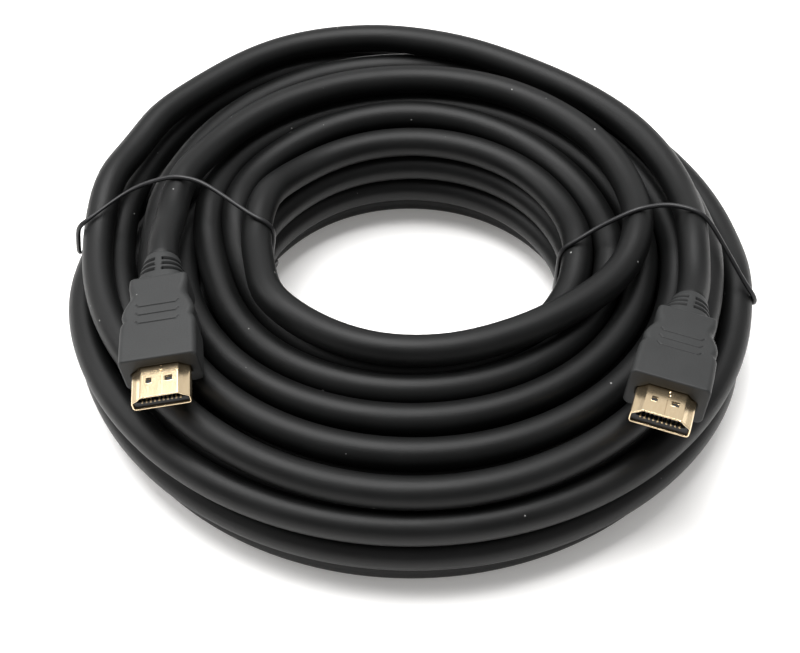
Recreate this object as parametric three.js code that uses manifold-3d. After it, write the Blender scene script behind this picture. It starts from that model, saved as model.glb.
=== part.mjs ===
// A long round video cable with a moulded flat plug on each end, wound into a round coil
// that lies flat and is held by two thin coated wire ties.
// Millimetres, +Z up. The origin is the coil's centre on the floor it lies on. +X is to the
// right and +Y to the back of a viewer who has both plugs' mouths pointing towards them.

import * as THREE from "three";
import { mergeVertices } from "three/addons/utils/BufferGeometryUtils.js";
import Module from "manifold-3d";

const wasm = await Module();
wasm.setup();

// Cable and coil
const CABLE_D = 8.0; // jacket diameter
const CABLE_SIDES = 10;
const INNER_RADIUS = 43.3; // from the coil's axis to the middle of the innermost turns
const BOTTOM_INSET = 4.7; // how much further out the bottom layer starts
const LANE_PITCH = 8.5; // from one turn to the next, outwards
const LAYER_PITCH = 8.1; // from one layer of turns to the next, upwards
// Bottom layer first: the radius of its innermost turn, and how many turns lie side by side.
const LAYERS = [
  { innerRadius: INNER_RADIUS + BOTTOM_INSET, turns: 5 },
  { innerRadius: INNER_RADIUS, turns: 6 },
  { innerRadius: INNER_RADIUS, turns: 6 },
  { innerRadius: INNER_RADIUS, turns: 5 },
];
const COIL_SEGMENTS = 40;
const TURN_FACETS = 12; // facets round one turn, one of them flat on the floor
const VALLEY_TRIM = 0.35; // radians of a turn left uncut on each side of the valley to the next
const SEAT_GAP = 0.3; // between pieces that touch

// Overmould: the plug's grip and its strain relief, moulded in one
const BODY_LENGTH = 27.0;
const BODY_WIDTH = 18.5; // at the front
const BODY_WAIST = 14.7; // behind the finger grips
const BODY_TAIL = 14.0; // where the strain relief starts
const BODY_HEIGHT = 10.4;
const BODY_TAIL_HEIGHT = 9.6;
const BODY_EDGE_RADIUS = 1.8;
const GRIP_DIMPLE = 0.45; // how far the small finger dimples go in
const GRIP_DIMPLE_LENGTH = 1.1; // half the length of a dimple
const GRIP_START = 15.0; // from the front face back to the step in the sides
const GRIP_LENGTH = 5.6; // length of that step
const GRIP_LEAD = 2.1; // from the first dimple to the step
const RELIEF_LENGTH = 8.4;
const RELIEF_BASE_WIDTH = 12.4;
const RELIEF_BASE_HEIGHT = 9.4;
const RELIEF_TIP_D = CABLE_D + 0.9;
const RELIEF_SLOTS = 3;
const RELIEF_SLOT_WIDTH = 0.8;
const RELIEF_SLOT_PITCH = 1.75;
const RELIEF_SLOT_FLOOR_D = 6.4; // the core that the slots leave standing
const RELIEF_WEB = 1.9; // the web between a row's two slots
const CORNER_POINTS = 4; // points in each rounded corner of the section

// Shell: folded from gilt sheet
const SHELL_WIDTH = 13.9;
const SHELL_HEIGHT = 4.45;
const SHELL_NARROW = 9.7; // width of the narrow side, to its corners
const SHELL_FLANK = 2.3; // height of the upright part of each flank, from the wide side up
const SHELL_WALL = 0.4;
const SHELL_OUT = 9.0; // how far it stands out of the overmould
const SHELL_IN = 3.7; // how far it goes into the overmould
const SHELL_CORNER = 0.75;
const WINDOW_WIDTH = 1.35; // latch windows in the narrow and the wide side
const WINDOW_LENGTH = 1.5;
const WINDOW_SPACING = 4.9;
const WINDOW_SETBACK = 5.0; // from the mouth to a window's middle

// Insulator and contacts
const CONTACT_PITCH = 1.0;
const WIDE_CONTACT_COUNT = 10;
const NARROW_CONTACT_COUNT = 9;
const CONTACT_WIDTH = 0.45;
const CONTACT_THICKNESS = 0.25;
const CONTACT_PLAY = 0.1; // clearance all round a contact in its groove
const CONTACT_SETBACK = 0.5; // from the insulator's face to a contact's tip
const INSULATOR_PLAY = 0.1; // inside the shell
const INSULATOR_SETBACK = 0.7; // from the shell's mouth to the insulator's face
const SLOT_WIDTH = 11.3;
const SLOT_HEIGHT = 1.2;
const SLOT_DEPTH = 7.4;
const SLOT_RAISE = 0.35; // the slot's middle above the shell's middle

// Ties
const TIE_D = 1.2;
const TIE_SIDES = 6;
const TIE_FLOOR = 0.1; // its lower run's height over the floor
const TIE_NOTCH = 0.3; // clearance of a tie in the notch under the coil
const TIE_TAIL_LENGTH = 9.0;

const layerZ = (layer) => CABLE_D / 2 + layer * LAYER_PITCH;
const laneRadius = (layer, lane) => LAYERS[layer].innerRadius + lane * LANE_PITCH;
const TOP_LAYER = LAYERS.length - 1;
const RIDE_Z = layerZ(TOP_LAYER) + CABLE_D + SEAT_GAP; // a turn that lies on the top layer

// Where the two plugs lie: the middle of the overmould's front face, then the turn about +Z,
// the tilt of the mouth upwards and the roll about the plug's own axis, in degrees.
const PLUGS = {
  left: { at: [-59.0, -52.0, RIDE_Z + 2.0], turn: 185.7, tilt: -1.5, roll: 7.0 },
  right: { at: [57.2, -63.0, RIDE_Z + 5.7], turn: 162.5, tilt: 7.5, roll: -4.0 },
};

// Each plug's lead, from behind the strain relief along the top of the coil, as points chosen
// by hand.
const LEADS = {
  left: [
    [-62.6, 0.5, RIDE_Z + 0.6],
    [-62.0, 12, RIDE_Z],
    [-58.2, 24, RIDE_Z],
    [-49.5, 38, RIDE_Z],
    [-37.5, 49.5, RIDE_Z],
    [-22.5, 57.5, RIDE_Z],
    [-7.5, 61.2, RIDE_Z],
    [9.0, 61.2, RIDE_Z],
    [25.5, 56.5, RIDE_Z],
    [39.0, 47.5, RIDE_Z],
    [50.0, 35.0, RIDE_Z],
    [56.5, 20.5, RIDE_Z],
    [58.8, 5.0, RIDE_Z],
    [56.5, -9.0, RIDE_Z],
    [49.5, -20.5, RIDE_Z],
    [38.5, -30.0, RIDE_Z],
    [25.0, -38.0, RIDE_Z],
    [8.0, -43.5, RIDE_Z],
    [-10.0, -42.8, RIDE_Z],
    [-26.0, -35.0, RIDE_Z],
    [-37.5, -22.5, RIDE_Z],
  ],
  right: [
    [71.6, -7.0, RIDE_Z + 0.7],
    [72.0, 8, RIDE_Z],
    [68.6, 24, RIDE_Z],
    [61.0, 40, RIDE_Z],
    [49.5, 53.5, RIDE_Z],
    [33.5, 65.8, RIDE_Z],
    [14.5, 76.3, RIDE_Z],
    [-7.0, 82.8, RIDE_Z - 1.0],
    [-27.5, 81.4, RIDE_Z - 1.4],
    [-44.5, 73.6, RIDE_Z - 1.4],
    [-60.5, 58.8, RIDE_Z - 1.4],
    [-73.0, 40.2, RIDE_Z - 1.4],
    [-81.0, 18.4, RIDE_Z - 1.4],
  ],
};

// Each tie lies in an upright plane that faces an azimuth in degrees and passes aside from the
// coil's axis. Its twisted tail leaves the outer side at a height and in a direction in that plane.
const TIES = {
  left: { azimuth: 170, aside: 4, tailHeight: 22, tailLeans: [0.35, 1] },
  right: { azimuth: -4, aside: 2, tailHeight: 17, tailLeans: [0.35, -1] },
};

const radians = THREE.MathUtils.degToRad;

// From a plug's own frame, +Y out of its mouth and the narrow side up, to the coil's.
function plugPlace(side) {
  const { at, turn, tilt, roll } = PLUGS[side];
  const turned = new THREE.Euler(radians(tilt), radians(roll), radians(turn), "ZXY");
  return new THREE.Matrix4().makeRotationFromEuler(turned).setPosition(...at);
}

// A lead's route: straight out of the strain relief, then through its points.
function leadRoute(side) {
  const tip = -BODY_LENGTH - RELIEF_LENGTH - SEAT_GAP;
  const straight = [0, CABLE_D].map((back) =>
    new THREE.Vector3(0, tip - back, 0).applyMatrix4(plugPlace(side)),
  );
  return new THREE.CatmullRomCurve3([
    ...straight,
    ...LEADS[side].map((point) => new THREE.Vector3(...point)),
  ]);
}

const material = (name, color, roughness, metalness) => {
  const made = new THREE.MeshStandardMaterial({ color, roughness, metalness });
  made.name = name;
  return made;
};
const jacket = material("cable_jacket", 0x17181a, 0.5, 0);
const moulding = material("moulded_grip", 0x26282a, 0.62, 0);
const gilt = material("gilt_shell", 0xe0b978, 0.3, 1);
const insulating = material("insulator", 0x0c0c0d, 0.5, 0);
const coated = material("tie_coating", 0x0f0f10, 0.45, 0);

// Solids
function solidOf(geometry) {
  const bare = geometry.clone();
  bare.deleteAttribute("normal");
  bare.deleteAttribute("uv");
  const merged = mergeVertices(bare, 1e-4);
  return new wasm.Manifold(
    new wasm.Mesh({
      numProp: 3,
      vertProperties: merged.attributes.position.array,
      triVerts: new Uint32Array(merged.index.array),
    }),
  );
}

function geometryOf(solid) {
  const mesh = solid.getMesh();
  const geometry = new THREE.BufferGeometry();
  geometry.setAttribute("position", new THREE.BufferAttribute(mesh.vertProperties, 3));
  geometry.setIndex(new THREE.BufferAttribute(mesh.triVerts, 1));
  geometry.computeVertexNormals();
  return geometry;
}

const box = (width, length, height, x, y, z) =>
  solidOf(new THREE.BoxGeometry(width, length, height).translate(x, y, z));

function node(name, geometry, look) {
  const mesh = new THREE.Mesh(geometry, look);
  mesh.name = name;
  return mesh;
}

// A closed surface through rings of as many points each, from the highest y to the lowest,
// with a fan over the first and last.
function loft(rings) {
  const count = rings[0].length;
  const positions = rings.flat(2);
  const index = [];
  for (let ring = 0; ring + 1 < rings.length; ring += 1) {
    for (let i = 0; i < count; i += 1) {
      const a = ring * count + i;
      const b = ring * count + ((i + 1) % count);
      index.push(a, b, a + count, b, b + count, a + count);
    }
  }
  const last = (rings.length - 1) * count;
  for (let i = 1; i + 1 < count; i += 1) {
    index.push(0, i + 1, i);
    index.push(last, last + i, last + i + 1);
  }
  const geometry = new THREE.BufferGeometry();
  geometry.setAttribute("position", new THREE.Float32BufferAttribute(positions, 3));
  geometry.setIndex(index);
  return geometry;
}

// Coil: the outline of the bundle of turns, turned about the coil's axis
function coilTurns() {
  const lane = (layer, index) => new THREE.Vector2(laneRadius(layer, index), layerZ(layer));
  const around = [];
  const bottom = LAYERS[0].turns;
  for (let i = 0; i < bottom; i += 1) around.push(lane(0, i));
  for (let layer = 1; layer <= TOP_LAYER; layer += 1) around.push(lane(layer, LAYERS[layer].turns - 1));
  for (let i = LAYERS[TOP_LAYER].turns - 2; i >= 0; i -= 1) around.push(lane(TOP_LAYER, i));
  for (let layer = TOP_LAYER - 1; layer >= 1; layer -= 1) around.push(lane(layer, 0));
  return around;
}

function coilOutline() {
  const around = coilTurns();
  const facet = (2 * Math.PI) / TURN_FACETS;
  const radius = CABLE_D / 2 / Math.cos(facet / 2);
  const outline = [];
  around.forEach((centre, i) => {
    const before = around[(i + around.length - 1) % around.length];
    const after = around[(i + 1) % around.length];
    const from = before.clone().sub(centre).angle() + VALLEY_TRIM;
    let to = after.clone().sub(centre).angle() - VALLEY_TRIM;
    while (to <= from) to += 2 * Math.PI;
    for (let k = Math.ceil(from / facet - 0.5); (k + 0.5) * facet <= to; k += 1) {
      const angle = (k + 0.5) * facet;
      outline.push(
        new THREE.Vector2(centre.x + radius * Math.cos(angle), centre.y + radius * Math.sin(angle)),
      );
    }
  });
  outline.push(outline[0].clone());
  return outline;
}

// A tie's plane, put in its place, holds its loop and the notch that it lies in.
const tiePlace = (tie) =>
  new THREE.Matrix4()
    .makeRotationZ(radians(tie.azimuth))
    .multiply(new THREE.Matrix4().makeTranslation(0, tie.aside, 0));

function coilSolid() {
  const ring = solidOf(new THREE.LatheGeometry(coilOutline(), COIL_SEGMENTS).rotateX(Math.PI / 2));
  return Object.values(TIES).reduce((solid, tie) => {
    const width = TIE_D + 2 * TIE_NOTCH;
    const height = 2 * (TIE_FLOOR + TIE_D + TIE_NOTCH);
    const reach = laneRadius(0, LAYERS[0].turns - 1) + CABLE_D;
    const notch = new THREE.BoxGeometry(reach, width, height).translate(reach / 2 + CABLE_D, 0, 0);
    return solid.subtract(solidOf(notch.applyMatrix4(tiePlace(tie))));
  }, ring);
}

// A lead: cable of round section along its route
function lead(side) {
  const section = new THREE.Shape();
  section.absarc(0, 0, CABLE_D / 2, 0, 2 * Math.PI);
  return new THREE.ExtrudeGeometry(section, {
    steps: LEADS[side].length + 1,
    curveSegments: CABLE_SIDES,
    extrudePath: leadRoute(side),
  });
}

// Overmould
// Half the body's width, at a distance back from its front face.
function bodyHalfWidth(back) {
  const gripEnd = GRIP_START + GRIP_LENGTH;
  const step = THREE.MathUtils.smoothstep(back, GRIP_START, gripEnd);
  const taper = THREE.MathUtils.smoothstep(back, gripEnd, BODY_LENGTH);
  const dimpleAt = (middle) => GRIP_DIMPLE * Math.exp(-(((back - middle) / GRIP_DIMPLE_LENGTH) ** 2));
  const straight = THREE.MathUtils.lerp(BODY_WIDTH, BODY_WAIST, step) / 2;
  const tapered = THREE.MathUtils.lerp(straight, BODY_TAIL / 2, taper ** 3);
  return tapered - dimpleAt(GRIP_START - GRIP_LEAD) - dimpleAt(gripEnd + 0.5);
}

const bodyHalfHeight = (back) =>
  THREE.MathUtils.lerp(BODY_HEIGHT, BODY_TAIL_HEIGHT, (back / BODY_LENGTH) ** 2) / 2;

// A rounded rectangle across the plug's axis, at a distance back from the front face.
function section(back, halfWidth, halfHeight, radius) {
  const ring = [];
  for (let corner = 0; corner < 4; corner += 1) {
    const x = (corner === 0 || corner === 3 ? 1 : -1) * (halfWidth - radius);
    const z = (corner < 2 ? 1 : -1) * (halfHeight - radius);
    for (let i = 0; i < CORNER_POINTS; i += 1) {
      const angle = (corner + i / (CORNER_POINTS - 1)) * (Math.PI / 2);
      ring.push([x + radius * Math.cos(angle), -back, z + radius * Math.sin(angle)]);
    }
  }
  return ring;
}

function overmouldBlank() {
  const edge = 0.5; // the small round on the front and rear edges
  const rings = [section(0, bodyHalfWidth(0) - edge, bodyHalfHeight(0) - edge, BODY_EDGE_RADIUS)];
  const dimple = GRIP_START - GRIP_LEAD;
  const gripEnd = GRIP_START + GRIP_LENGTH;
  const stations = [edge, dimple - 2 * GRIP_DIMPLE_LENGTH, dimple, GRIP_START - 0.4];
  stations.push(GRIP_START + GRIP_LENGTH / 3, GRIP_START + (2 * GRIP_LENGTH) / 3, gripEnd + 0.5);
  stations.push(gripEnd + 2.4, BODY_LENGTH - 2.6, BODY_LENGTH - 1.2, BODY_LENGTH - edge);
  stations.forEach((back) => {
    rings.push(section(back, bodyHalfWidth(back), bodyHalfHeight(back), BODY_EDGE_RADIUS));
  });
  rings.push(
    section(
      BODY_LENGTH,
      BODY_TAIL / 2 - edge,
      BODY_TAIL_HEIGHT / 2 - edge / 2,
      BODY_EDGE_RADIUS,
    ),
  );
  for (let i = 0; i <= 3; i += 1) {
    const back = BODY_LENGTH + 0.05 + (i / 3) * (RELIEF_LENGTH - 0.05);
    const halfWidth = THREE.MathUtils.lerp(RELIEF_BASE_WIDTH, RELIEF_TIP_D, i / 3) / 2;
    const halfHeight = THREE.MathUtils.lerp(RELIEF_BASE_HEIGHT, RELIEF_TIP_D, i / 3) / 2;
    rings.push(section(back, halfWidth, halfHeight, Math.min(halfWidth, halfHeight) - 0.2));
  }
  return loft(rings);
}

function reliefSlots() {
  const core = solidOf(
    new THREE.CylinderGeometry(
      RELIEF_SLOT_FLOOR_D / 2,
      RELIEF_SLOT_FLOOR_D / 2,
      RELIEF_LENGTH + 2,
      12,
    ).translate(0, -BODY_LENGTH - RELIEF_LENGTH / 2, 0),
  );
  const cuts = [];
  for (let row = 0; row < RELIEF_SLOTS; row += 1) {
    const y = -BODY_LENGTH - 2.2 - row * RELIEF_SLOT_PITCH;
    for (const side of [-1, 1]) {
      const half = RELIEF_BASE_WIDTH;
      const x = side * (RELIEF_WEB / 2 + half / 2);
      cuts.push(box(half, RELIEF_SLOT_WIDTH, BODY_HEIGHT * 1.5, x, y, 0).subtract(core));
    }
  }
  return cuts;
}

// The shell's outline across the plug's axis, grown outwards by a margin: the narrow side is up.
function shellOutline(margin) {
  const wide = SHELL_WIDTH / 2 + margin;
  const narrow = SHELL_NARROW / 2 + margin * 0.6;
  const top = SHELL_HEIGHT / 2 + margin;
  const bottom = -top;
  const flank = -SHELL_HEIGHT / 2 + SHELL_FLANK + margin * 0.3;
  const corner = Math.max(0.2, SHELL_CORNER + margin);
  const half = [
    [wide - corner, bottom],
    [wide - corner * 0.3, bottom + corner * 0.3],
    [wide, bottom + corner],
    [wide, flank],
    [wide - (wide - narrow) * 0.75, flank + (top - flank) * 0.55],
    [narrow, top - corner * 0.45],
    [narrow - corner * 0.6, top],
  ];
  const mirrored = half.map(([x, z]) => [-x, z]).reverse();
  return [...half, ...mirrored];
}

// A prism along the plug's axis, from y = from to y = to, with that outline.
function shellPrism(margin, from, to) {
  const outline = shellOutline(margin);
  const ring = (y) => outline.map(([x, z]) => [x, y, z]);
  return solidOf(loft([ring(to), ring(from)]));
}

function overmould() {
  const pocket = shellPrism(SEAT_GAP, -SHELL_IN - SEAT_GAP, 1);
  const cut = reliefSlots().reduce((solid, slot) => solid.subtract(slot), solidOf(overmouldBlank()));
  return cut.subtract(pocket);
}

function shell() {
  const outside = shellPrism(0, -SHELL_IN, SHELL_OUT);
  const inside = shellPrism(-SHELL_WALL, -SHELL_IN - 1, SHELL_OUT + 1);
  const windows = [-1, 1].map((side) =>
    box(
      WINDOW_WIDTH,
      WINDOW_LENGTH,
      SHELL_HEIGHT * 2,
      (side * WINDOW_SPACING) / 2,
      SHELL_OUT - WINDOW_SETBACK,
      0,
    ),
  );
  return windows.reduce((solid, window) => solid.subtract(window), outside.subtract(inside));
}

// Contacts lie against the slot's two long sides: [name, x, z of the middle].
function contactPlaces() {
  const row = (count, side, label) =>
    Array.from({ length: count }, (_, i) => ({
      label: `${label}_${String(i + 1).padStart(2, "0")}`,
      x: (i - (count - 1) / 2) * CONTACT_PITCH,
      z: SLOT_RAISE + side * (SLOT_HEIGHT / 2 + CONTACT_THICKNESS / 2 + CONTACT_PLAY),
      side,
    }));
  return [...row(NARROW_CONTACT_COUNT, 1, "narrow"), ...row(WIDE_CONTACT_COUNT, -1, "wide")];
}

const insulatorFace = SHELL_OUT - INSULATOR_SETBACK;

function insulator() {
  const block = shellPrism(-SHELL_WALL - INSULATOR_PLAY, -SHELL_IN, insulatorFace);
  const slotY = insulatorFace - SLOT_DEPTH / 2 + 0.5;
  const slot = box(SLOT_WIDTH, SLOT_DEPTH + 1, SLOT_HEIGHT, 0, slotY, SLOT_RAISE);
  const grooves = contactPlaces().map(({ x, z, side }) =>
    box(
      CONTACT_WIDTH + 2 * CONTACT_PLAY,
      SLOT_DEPTH + 1,
      CONTACT_THICKNESS + 2 * CONTACT_PLAY + 0.2,
      x,
      slotY,
      z - side * 0.1,
    ),
  );
  return grooves.reduce((solid, groove) => solid.subtract(groove), block.subtract(slot));
}

function contact({ x, z }) {
  const length = SLOT_DEPTH - CONTACT_SETBACK - CONTACT_PLAY;
  const y = insulatorFace - CONTACT_SETBACK - length / 2;
  return new THREE.BoxGeometry(CONTACT_WIDTH, length, CONTACT_THICKNESS).translate(x, y, z);
}

function plug(side) {
  const group = new THREE.Group();
  group.add(node(`overmould_${side}`, geometryOf(overmould()), moulding));
  group.add(node(`shell_${side}`, geometryOf(shell()), gilt));
  group.add(node(`insulator_${side}`, geometryOf(insulator()), insulating));
  contactPlaces().forEach((place) => {
    group.add(node(`contact_${side}_${place.label}`, contact(place), gilt));
  });
  group.applyMatrix4(plugPlace(side));
  return group;
}

// Ties
// Where the leads cross a tie's plane, as points in that plane: distance from the axis and height.
function leadCrossings(tie) {
  const toPlane = tiePlace(tie).invert();
  const samples = Object.keys(LEADS).flatMap((side) => leadRoute(side).getSpacedPoints(400));
  return samples
    .map((point) => point.applyMatrix4(toPlane))
    .filter((point) => point.x > 0 && Math.abs(point.y) < CABLE_D / 4)
    .map((point) => new THREE.Vector2(point.x, point.z));
}

// The convex outline of a set of points, counterclockwise.
function hull(points) {
  const sorted = [...points].sort((a, b) => a.x - b.x || a.y - b.y);
  const turnsLeft = (a, b, c) => (b.x - a.x) * (c.y - a.y) - (b.y - a.y) * (c.x - a.x) > 1e-9;
  const chain = (list) => {
    const kept = [];
    list.forEach((point) => {
      while (kept.length > 1 && !turnsLeft(kept.at(-2), kept.at(-1), point)) kept.pop();
      kept.push(point);
    });
    return kept.slice(0, -1);
  };
  return [...chain(sorted), ...chain(sorted.reverse())];
}

// A tie is drawn taut round the turns and the leads, and dips into its notch under the coil.
function tieLoop(tie) {
  const reach = CABLE_D / 2 + SEAT_GAP + TIE_D / 2;
  const turns = coilTurns().map((turn) => {
    const across = Math.sqrt(turn.x ** 2 - tie.aside ** 2);
    return { x: across, y: turn.y, slant: turn.x / across };
  });
  const leads = leadCrossings(tie).map(({ x, y }) => ({ x, y, slant: 1 }));
  const round = [...turns, ...leads].flatMap((centre) =>
    Array.from({ length: TURN_FACETS }, (_, k) => {
      const angle = ((k + 0.5) * 2 * Math.PI) / TURN_FACETS;
      const radius = reach / Math.cos(Math.PI / TURN_FACETS);
      return new THREE.Vector2(
        centre.x + radius * centre.slant * Math.cos(angle),
        Math.max(centre.y + radius * Math.sin(angle), TIE_FLOOR + TIE_D / 2),
      );
    }),
  );
  const outline = hull(round);
  return outline.filter((point, i) => point.distanceTo(outline.at(i - 1)) > TIE_D / 4);
}

// A closed wire along a loop in the XZ plane.
function closedWire(outline) {
  const rings = outline.map((point, i) => {
    const before = outline.at(i - 1);
    const after = outline[(i + 1) % outline.length];
    const along = after.clone().sub(before).normalize();
    return Array.from({ length: TIE_SIDES }, (_, k) => {
      const angle = (k * 2 * Math.PI) / TIE_SIDES;
      const out = (TIE_D / 2) * Math.cos(angle);
      return [point.x + out * along.y, (TIE_D / 2) * Math.sin(angle), point.y - out * along.x];
    });
  });
  const index = [];
  rings.forEach((_, ring) => {
    for (let k = 0; k < TIE_SIDES; k += 1) {
      const a = ring * TIE_SIDES + k;
      const b = ring * TIE_SIDES + ((k + 1) % TIE_SIDES);
      const next = ((ring + 1) % rings.length) * TIE_SIDES;
      const c = next + k;
      const d = next + ((k + 1) % TIE_SIDES);
      index.push(a, b, c, b, d, c);
    }
  });
  const geometry = new THREE.BufferGeometry();
  geometry.setAttribute("position", new THREE.Float32BufferAttribute(rings.flat(2), 3));
  geometry.setIndex(index);
  return geometry;
}

function tieSolid(tie) {
  const outline = tieLoop(tie);
  const outermost = Math.max(...outline.map((point) => point.x));
  const from = new THREE.Vector3(outermost, 0, tie.tailHeight);
  const lean = new THREE.Vector3(tie.tailLeans[0], 0, tie.tailLeans[1]).normalize();
  const tail = new THREE.CylinderGeometry(TIE_D / 2, TIE_D / 2, TIE_TAIL_LENGTH, TIE_SIDES);
  tail.translate(0, TIE_TAIL_LENGTH / 2, 0);
  tail.applyQuaternion(
    new THREE.Quaternion().setFromUnitVectors(new THREE.Vector3(0, 1, 0), lean),
  );
  tail.translate(from.x, from.y, from.z);
  return solidOf(closedWire(outline)).add(solidOf(tail));
}

const group = new THREE.Group();
group.add(node("coil", geometryOf(coilSolid()), jacket));
for (const side of ["left", "right"]) {
  group.add(node(`lead_${side}`, lead(side), jacket));
  group.add(plug(side));
  const tie = node(`tie_${side}`, geometryOf(tieSolid(TIES[side])), coated);
  tie.applyMatrix4(tiePlace(TIES[side]));
  group.add(tie);
}

export default group;
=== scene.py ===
"""A long black video cable in a round coil, with a gilt plug in a moulded grip at each end.

The coil's cable is one tube with its whole length in it. Every piece is worked out in
millimetres, in the frame of the solids: +Z up, the coil's axis through the origin.
"""

import math

import bpy
import numpy as np
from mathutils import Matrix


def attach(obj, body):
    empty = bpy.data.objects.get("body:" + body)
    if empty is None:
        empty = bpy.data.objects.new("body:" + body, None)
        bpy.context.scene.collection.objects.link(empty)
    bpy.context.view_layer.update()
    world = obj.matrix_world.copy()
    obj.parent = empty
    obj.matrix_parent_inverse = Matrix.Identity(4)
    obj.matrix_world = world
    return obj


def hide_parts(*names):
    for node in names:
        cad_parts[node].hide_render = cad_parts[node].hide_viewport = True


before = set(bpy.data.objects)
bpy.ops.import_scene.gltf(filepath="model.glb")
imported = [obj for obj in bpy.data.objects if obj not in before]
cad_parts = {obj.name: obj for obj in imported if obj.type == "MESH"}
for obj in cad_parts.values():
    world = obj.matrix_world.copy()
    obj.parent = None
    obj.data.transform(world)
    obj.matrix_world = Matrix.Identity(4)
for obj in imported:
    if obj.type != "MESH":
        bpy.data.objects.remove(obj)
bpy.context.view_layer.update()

MM = 0.001

# Camera
CAMERA_PLACE = (-0.0032, -0.2756, 0.2937)
CAMERA_TILT = 43.0  # degrees up from straight down
CAMERA_LENS = 65.25
CAMERA_SENSOR = 36.0

# Light: places in metres, powers in watts
SKY = (0.32, 0.9)  # how bright the soft light is from the front and from the back
SKY_SPREAD = 0.8  # how far to the front and the back of the middle it goes on changing
OVERHEAD = {"place": (-0.1, 0.14, 0.92), "size": 0.7, "power": 15.5}
LEFT_SIDE = {"place": (-0.75, 0.1, 0.6), "size": 0.4, "power": 2.5}
FLOOR_REACH = 6.0
FLOOR_DROP = 0.0001
FLOOR_GLOW = 0.16

# Cable
CABLE_D = 8.0
LANE_STEP = 8.5
LAYER_RISE = 8.1
LAYER_RADII = (48.0, 43.3, 43.3, 43.3)  # of each layer's innermost turn, bottom layer first
RIDE_Z = 36.6  # middle of a turn that lies on the top layer
RING_STEP = 3.0  # from one ring of the tube to the next
TUBE_SIDES = 20
SPAN_POINTS = 12  # points of a lead's curve from one of its given points to the next
TRAVEL_STEP = 5.0  # degrees from one point of the winding to the next
LEAD_EXITS = (1.5, -0.3, -8.3)  # the leads' first points, forward of the strain relief's tip

# The places that the cable winds through, as (lane, layer): in at the top of the bore, on
# through the inner half of the bundle and then the outer half, and out over its shoulder.
WINDING = [
    *[(0, 3), (1, 3), (2, 3), (2, 2), (1, 2), (0, 2), (0, 1), (0, 0), (1, 0), (1, 1), (2, 1)],
    *[(2, 0), (3, 0), (4, 0), (5, 1), (4, 1), (3, 1), (3, 2), (4, 2), (5, 2), (3, 3), (4, 3)],
]
COIL_START = 203.0  # azimuth in degrees where the left lead goes over into the winding
COIL_END = 149.0  # and where the right lead comes out of it
INNER_REST = (43.7, RIDE_Z)  # radius and height where the left lead comes in
OUTER_REST = (84.2, 35.2)  # and where the right lead goes out
# The steps between places, as (turn, azimuth of its middle, half its reach, place or rest).
# Each azimuth is given a turn on where the step comes late in its turn.
STEPS = [
    (0, 208.0, 22.0, (40.6, 34.4)),
    (0, 148.0, 24.0, WINDING[0]),
    (1, 172.0, 30.0, WINDING[1]),
    (2, 168.0, 30.0, WINDING[2]),
    (3, 170.0, 26.0, WINDING[3]),
    *[(4 + k, 190.0 + 16.0 * k, 26.0, WINDING[4 + k]) for k in range(14)],
    (18, 425.0, 26.0, WINDING[18]),
    (19, 570.0, 24.0, (75.6, 25.4)),
    (19, 525.0, 34.0, WINDING[19]),
    (20, 526.0, 26.0, (77.4, 19.6)),
    (20, 460.0, 24.0, WINDING[20]),
    (21, 504.0, 40.0, WINDING[21]),
    (22, 566.0, 20.0, (81.2, 29.0)),
    (22, 540.0, 17.0, (83.5, 31.5)),
    (22, 524.0, 18.0, OUTER_REST),
]

# How a place departs from its even ring: about an azimuth, so many degrees to each side, by
# so much outwards and so much up.
FRONT, BACK, LEFT = 270.0, 90.0, 180.0
DEPARTURES = {
    (0, 3): [(BACK, 45.0, 0.7, 0.0), (LEFT, 34.0, 0.0, -1.0)],
    (1, 3): [(FRONT, 45.0, -1.6, 1.2), (BACK, 42.0, 1.0, 2.4)],
    (2, 3): [(FRONT, 45.0, -1.5, 0.2)],
    (4, 3): [(FRONT, 45.0, 1.8, -1.0), (BACK, 45.0, 1.0, 0.0)],
    (3, 3): [(LEFT, 36.0, -0.9, 0.5)],
    (5, 2): [(FRONT, 50.0, -1.5, 0.3), (118.0, 44.0, -0.4, 7.4), (190.0, 24.0, 1.2, 0.0)],
    (5, 1): [(FRONT, 50.0, -0.5, 0.0)],
    (4, 0): [(FRONT, 50.0, -0.3, 0.0)],
}
LEFT_LEAD = [
    (-62.6, 0.5, 37.2),
    (-62.0, 12, RIDE_Z),
    (-58.2, 24, RIDE_Z),
    (-49.5, 38, RIDE_Z),
    (-37.5, 49.5, RIDE_Z),
    (-22.5, 57.5, RIDE_Z),
    (-7.5, 61.2, RIDE_Z),
    (9.0, 61.2, RIDE_Z),
    (25.5, 56.5, RIDE_Z),
    (39.0, 47.5, RIDE_Z),
    (50.0, 35.0, RIDE_Z),
    (56.5, 20.5, RIDE_Z),
    (58.8, 5.0, RIDE_Z),
    (56.5, -9.0, RIDE_Z),
    (49.5, -20.5, RIDE_Z),
    (38.5, -30.0, RIDE_Z),
    (25.0, -38.0, RIDE_Z),
    (8.0, -43.5, RIDE_Z),
    (-10.0, -42.8, RIDE_Z),
    (-26.0, -35.0, RIDE_Z),
    (-37.5, -22.5, RIDE_Z),
]
RIGHT_LEAD = [
    (71.6, -7.0, 37.3),
    (72.0, 8, RIDE_Z),
    (68.6, 24, RIDE_Z),
    (61.0, 40, RIDE_Z),
    (49.5, 53.5, RIDE_Z),
    (33.5, 65.8, RIDE_Z),
    (14.5, 76.3, RIDE_Z),
    (-7.0, 82.8, 35.6),
    (-27.5, 81.4, 35.2),
    (-44.5, 73.6, 35.2),
    (-60.5, 58.8, 35.2),
    (-72.2, 43.4, 35.2),
]

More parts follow.
